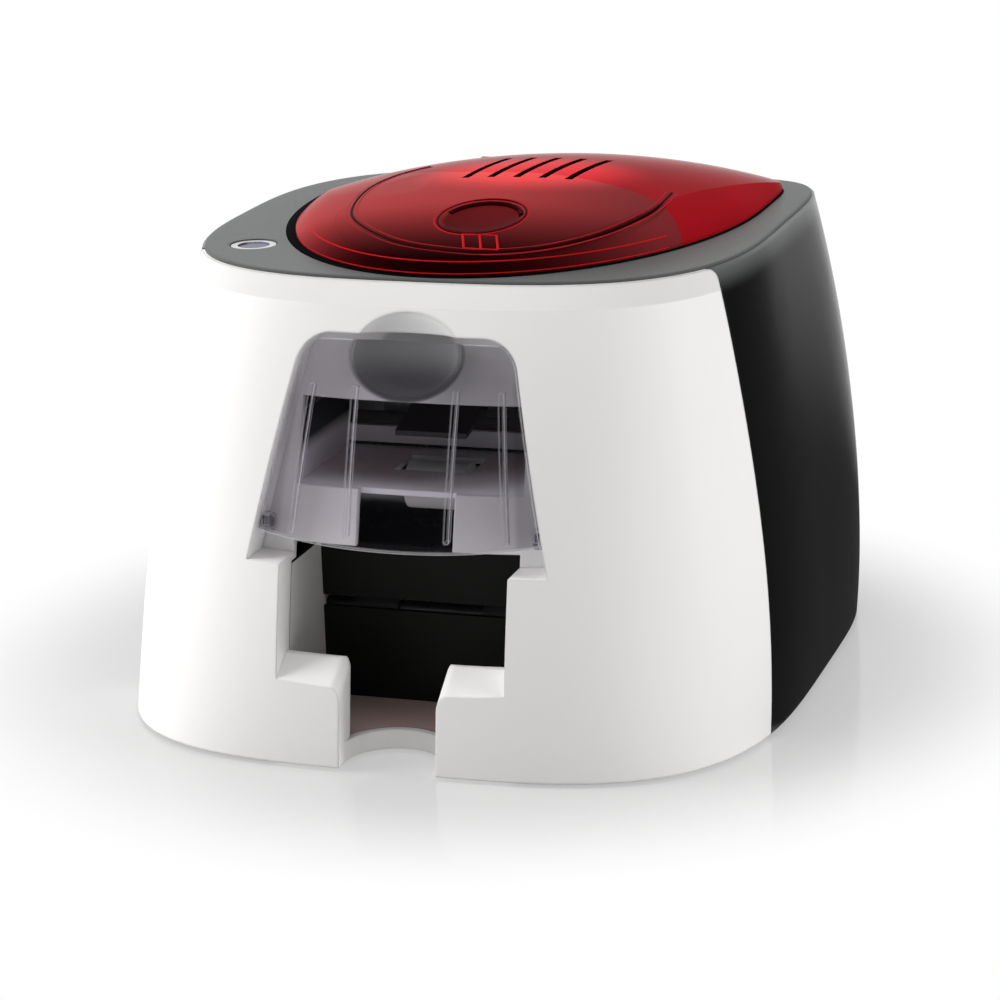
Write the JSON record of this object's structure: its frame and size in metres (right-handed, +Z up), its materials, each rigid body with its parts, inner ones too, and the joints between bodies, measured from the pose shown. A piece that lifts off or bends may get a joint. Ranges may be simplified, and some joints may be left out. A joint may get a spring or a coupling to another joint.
{
  "type": "id card printer",
  "caption": "Desktop plastic card printer: rounded casing, hinged see-through top cover, tipping front feeder cover, card output bay with finger notch.",
  "frame": {"origin": "on the table under the middle of the bounding box", "axes": "+Z up, the front with the card openings faces -Y, +X to the right of someone facing the front"},
  "size_m": [0.2618, 0.2746, 0.195],
  "materials": {
    "casing_white": "satin white moulded plastic",
    "casing_black": "fine textured black plastic",
    "rim_grey": "fine textured grey plastic",
    "lid_red": "glossy see-through deep red plastic",
    "cover_smoke": "glossy smoke grey see-through plastic",
    "smoke_pins": "black plastic",
    "button_blue": "glossy dark blue translucent plastic",
    "bezel_silver": "bright metal plating",
    "foot_rubber": "black rubber",
    "shaft_black": "blackened steel",
    "screw_steel": "plated steel",
    "frame_steel": "zinc plated sheet steel",
    "shaft_steel": "ground steel",
    "bush_plastic": "dark bearing plastic",
    "roller_rubber": "dark grey ground rubber",
    "pinch_plastic": "dark plastic",
    "gear_plastic": "natural white gear plastic",
    "pinion_brass": "cut brass",
    "belt_rubber": "black belt rubber",
    "motor_metal": "black painted metal",
    "motor_can": "plated steel can",
    "liner_grey": "grey plastic",
    "feeder_grey": "light grey plastic",
    "press_black": "black plastic",
    "board_green": "green circuit board",
    "board_fittings": "black component plastic",
    "socket_metal": "plated sheet",
    "ribbon_used": "dark wound film",
    "ribbon_fresh": "dark wound film",
    "head_aluminium": "milled aluminium",
    "head_ceramic": "glazed ceramic",
    "spring_steel": "spring steel"
  },
  "bodies": {
    "housing": {"front_casing": "casing_white", "rear_casing": "casing_black", "top_deck": "rim_grey", "base_tray": "casing_black", "rubber_feet": "foot_rubber", "case_screws": "screw_steel", "bay_liner": "liner_grey", "feeder_tray": "feeder_grey", "side_frame_left": "frame_steel", "side_frame_right": "frame_steel", "frame_rods": "shaft_steel", "shaft_bushes": "bush_plastic", "gear_studs": "shaft_steel", "drive_motor": "motor_metal", "ribbon_motor": "motor_can", "exit_belt": "belt_rubber", "card_chute": "liner_grey", "main_board": "board_green", "board_parts": "board_fittings", "usb_socket": "socket_metal", "power_inlet": "board_fittings", "button_bezel": "bezel_silver", "button_board": "board_green", "lid_hinge_pins": "screw_steel"},
    "lid": {"top_cover": "lid_red", "lid_chassis": "press_black", "head_springs": "spring_steel"},
    "print_head": {"print_head_bracket": "head_aluminium", "print_head_strip": "head_ceramic"},
    "latch": {"lid_latch": "smoke_pins"},
    "feeder_cover": {"front_cover": "cover_smoke", "front_cover_pins": "smoke_pins"},
    "button": {"power_button": "button_blue"},
    "press": {"card_press": "press_black"},
    "motor_shaft": {"motor_pinion": "pinion_brass"},
    "drive_idler": {"drive_idler_gear": "gear_plastic"},
    "platen": {"platen_shaft": "shaft_steel", "platen_sleeve": "roller_rubber", "platen_gear": "gear_plastic"},
    "feed_idler": {"feed_idler_gear": "gear_plastic"},
    "feed_roller": {"feed_shaft": "shaft_steel", "feed_tyres": "roller_rubber", "feed_gear": "gear_plastic", "feed_pulley": "gear_plastic"},
    "pick_idler": {"pick_idler_gear": "gear_plastic"},
    "pick_roller": {"pick_shaft": "shaft_steel", "pick_tyre": "roller_rubber", "pick_gear": "gear_plastic"},
    "exit_roller": {"exit_shaft": "shaft_black", "exit_tyres": "roller_rubber", "exit_pulley": "gear_plastic"},
    "feed_pinch": {"feed_pinch_roller": "pinch_plastic"},
    "exit_pinch": {"exit_pinch_roller": "pinch_plastic"},
    "ribbon_motor_shaft": {"ribbon_pinion": "pinion_brass"},
    "ribbon_idler": {"ribbon_idler_gear": "gear_plastic"},
    "takeup": {"takeup_spindle": "shaft_steel", "takeup_roll": "ribbon_used", "takeup_gear": "gear_plastic"},
    "supply": {"supply_spindle": "shaft_steel", "supply_roll": "ribbon_fresh"}
  },
  "joints": [
    {"name": "lid_hinge", "type": "hinge", "parent": "housing", "child": "lid", "pos_m": [0, 0.1146, 0.1786], "axis": [-1, 0, 0], "range_deg": [0, 75]},
    {"name": "head_float", "type": "slide", "parent": "lid", "child": "print_head", "axis": [0, 0, 1], "range_m": [0, 0.001], "stiffness_N_per_m": 2000, "springref_m": -0.002},
    {"name": "latch_pivot", "type": "hinge", "parent": "lid", "child": "latch", "pos_m": [0.019, -0.06, 0.178], "axis": [1, 0, 0], "range_deg": [0, 12], "stiffness_Nm_per_rad": 0.05, "springref_deg": -17.19},
    {"name": "feeder_cover_hinge", "type": "hinge", "parent": "housing", "child": "feeder_cover", "pos_m": [0, -0.11, 0.086], "axis": [1, 0, 0], "range_deg": [0, 50]},
    {"name": "button_press", "type": "slide", "parent": "housing", "child": "button", "axis": [0, 0, -1], "range_m": [0, 0.001], "stiffness_N_per_m": 400, "springref_m": -0.002},
    {"name": "press_swing", "type": "hinge", "parent": "housing", "child": "press", "pos_m": [0, -0.05, 0.119], "axis": [1, 0, 0], "range_deg": [-8, 25]},
    {"name": "motor_spin", "type": "hinge", "parent": "housing", "child": "motor_shaft", "pos_m": [0, 0.03, 0.034], "axis": [1, 0, 0], "continuous": true},
    {"name": "drive_idler_spin", "type": "hinge", "parent": "housing", "child": "drive_idler", "pos_m": [0, 0.02484, 0.06558], "axis": [1, 0, 0], "continuous": true},
    {"name": "platen_spin", "type": "hinge", "parent": "housing", "child": "platen", "pos_m": [0, 0, 0.093], "axis": [1, 0, 0], "continuous": true},
    {"name": "feed_idler_spin", "type": "hinge", "parent": "housing", "child": "feed_idler", "pos_m": [0, -0.018, 0.08035], "axis": [1, 0, 0], "continuous": true},
    {"name": "feed_spin", "type": "hinge", "parent": "housing", "child": "feed_roller", "pos_m": [0, -0.036, 0.093], "axis": [1, 0, 0], "continuous": true},
    {"name": "pick_idler_spin", "type": "hinge", "parent": "housing", "child": "pick_idler", "pos_m": [0, -0.05256, 0.08009], "axis": [1, 0, 0], "continuous": true},
    {"name": "pick_spin", "type": "hinge", "parent": "housing", "child": "pick_roller", "pos_m": [0, -0.066, 0.0905], "axis": [1, 0, 0], "continuous": true},
    {"name": "exit_spin", "type": "hinge", "parent": "housing", "child": "exit_roller", "pos_m": [0, -0.068, 0.041], "axis": [1, 0, 0], "continuous": true},
    {"name": "feed_pinch_spin", "type": "hinge", "parent": "housing", "child": "feed_pinch", "pos_m": [0, -0.036, 0.10476], "axis": [1, 0, 0], "continuous": true},
    {"name": "exit_pinch_spin", "type": "hinge", "parent": "housing", "child": "exit_pinch", "pos_m": [0, -0.068, 0.05076], "axis": [1, 0, 0], "continuous": true},
    {"name": "ribbon_motor_spin", "type": "hinge", "parent": "housing", "child": "ribbon_motor_shaft", "pos_m": [0, -0.02, 0.072], "axis": [1, 0, 0], "continuous": true},
    {"name": "ribbon_idler_spin", "type": "hinge", "parent": "housing", "child": "ribbon_idler", "pos_m": [0, -0.02173, 0.10095], "axis": [1, 0, 0], "continuous": true},
    {"name": "takeup_spin", "type": "hinge", "parent": "housing", "child": "takeup", "pos_m": [0, -0.036, 0.134], "axis": [1, 0, 0], "continuous": true},
    {"name": "supply_spin", "type": "hinge", "parent": "housing", "child": "supply", "pos_m": [0, 0.044, 0.124], "axis": [1, 0, 0], "continuous": true}
  ],
  "couplings": [
    {"joint": "drive_idler_spin", "follows": "motor_spin", "ratio": -0.28},
    {"joint": "platen_spin", "follows": "motor_spin", "ratio": 0.58333},
    {"joint": "feed_idler_spin", "follows": "motor_spin", "ratio": -0.7},
    {"joint": "feed_spin", "follows": "motor_spin", "ratio": 0.58333},
    {"joint": "pick_idler_spin", "follows": "motor_spin", "ratio": -0.77778},
    {"joint": "pick_spin", "follows": "motor_spin", "ratio": 0.875},
    {"joint": "exit_spin", "follows": "motor_spin", "ratio": 0.58333},
    {"joint": "ribbon_idler_spin", "follows": "ribbon_motor_spin", "ratio": -0.31818},
    {"joint": "takeup_spin", "follows": "ribbon_motor_spin", "ratio": 0.5}
  ]
}
